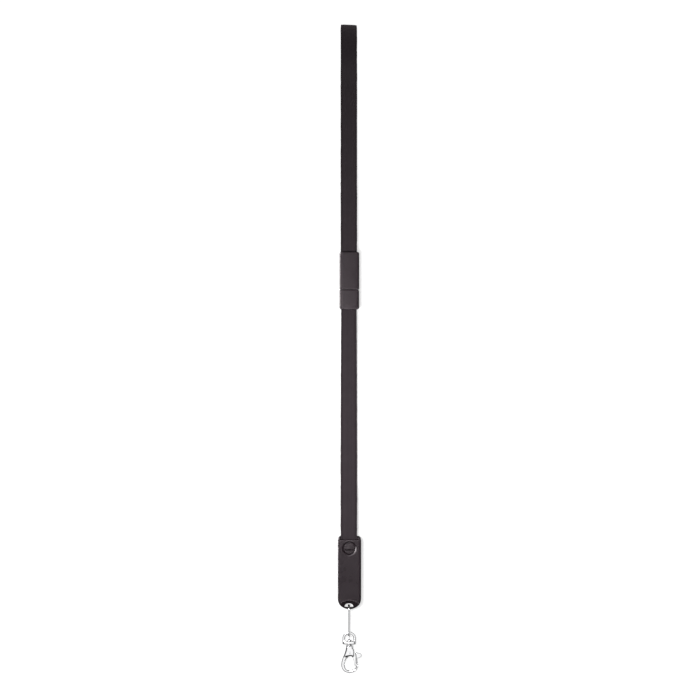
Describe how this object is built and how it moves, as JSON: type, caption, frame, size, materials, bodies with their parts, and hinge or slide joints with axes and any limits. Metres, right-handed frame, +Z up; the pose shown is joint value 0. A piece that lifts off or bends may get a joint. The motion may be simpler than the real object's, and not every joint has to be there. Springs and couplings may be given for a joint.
{
  "type": "charging cable lanyard",
  "caption": "Flat webbing neck lanyard carrying a charging cable: in-line capped USB plug, swivel-cover plug housing, wire link and sprung swivel hook.",
  "frame": {"origin": "centre of the bounding box's base: the lanyard lies flat on the surface z = 0, loop folded double", "axes": "+X to the right, +Y along the strap from the hook towards the neck fold, +Z up from the surface"},
  "size_m": [0.0221, 0.5903, 0.011],
  "materials": {
    "webbing": "black ribbed polyester webbing",
    "tube_webbing": "black tubular polyester webbing over a flat cable",
    "cable_jacket": "smooth",
    "connector_plastic": "fine matte moulding",
    "housing_plastic": "satin moulding",
    "cover_plastic": "satin moulding with soft edge highlights",
    "insulator": "matte",
    "stamped_steel": "stamped",
    "plug_steel": "nickel plated",
    "contact_gold": "gold flashed",
    "board_green": "solder mask",
    "chrome_wire": "polished plate",
    "chrome_cast": "polished plate over a casting",
    "spring_steel": "drawn wire"
  },
  "bodies": {
    "housing": {"body_front_shell": "housing_plastic", "body_back_shell": "housing_plastic", "pivot_button_front": "housing_plastic", "pivot_button_back": "housing_plastic", "strap_crimp": "stamped_steel", "circuit_board": "board_green", "type_c_shell": "plug_steel", "type_c_insert": "insulator", "micro_b_shell": "plug_steel", "micro_b_insert": "insulator", "strap_long": "webbing", "strap_short": "tube_webbing", "charging_cable": "cable_jacket", "plug_front_shell": "connector_plastic", "plug_back_shell": "connector_plastic", "plug_crimp": "stamped_steel", "usb_shell": "plug_steel", "usb_tongue": "insulator", "usb_contact_1": "contact_gold", "usb_contact_2": "contact_gold", "usb_contact_3": "contact_gold", "usb_contact_4": "contact_gold"},
    "cap": {"cap_front_shell": "connector_plastic", "cap_back_shell": "connector_plastic", "cap_crimp": "stamped_steel"},
    "cover": {"swivel_cover": "cover_plastic"},
    "link": {"oval_link": "chrome_wire"},
    "bail": {"hook_bail": "chrome_cast"},
    "claw": {"hook_body": "chrome_cast", "swivel_rivet": "chrome_cast", "swivel_washer": "chrome_cast", "trigger_pin": "plug_steel", "trigger_spring": "spring_steel"},
    "trigger": {"trigger_lever": "chrome_cast"}
  },
  "joints": [
    {"name": "cap_pull", "type": "slide", "parent": "housing", "child": "cap", "axis": [0, 1, 0], "range_m": [0, 0.02]},
    {"name": "cover_swivel", "type": "hinge", "parent": "housing", "child": "cover", "pos_m": [-0.00045, -0.1805, 0.0055], "axis": [0, 0, 1], "range_deg": [-150, 150]},
    {"name": "link_swing", "type": "hinge", "parent": "cover", "child": "link", "pos_m": [-0.0009, -0.23705, 0.0055], "axis": [1, 0, 0], "range_deg": [-85, 85]},
    {"name": "bail_sway", "type": "hinge", "parent": "link", "child": "bail", "pos_m": [-0.0009, -0.26145, 0.0038], "axis": [0, -0.0558, 0.9984], "range_deg": [-75, 75]},
    {"name": "hook_swivel", "type": "hinge", "parent": "bail", "child": "claw", "pos_m": [-0.0005, -0.27008, 0.00325], "axis": [0, 0.9984, 0.0558], "continuous": true},
    {"name": "trigger_press", "type": "hinge", "parent": "claw", "child": "trigger", "pos_m": [0.0001, -0.27597, 0.00292], "axis": [0, 0.0558, -0.9984], "range_deg": [0, 22], "stiffness_Nm_per_rad": 0.004, "springref_deg": -20.05}
  ]
}
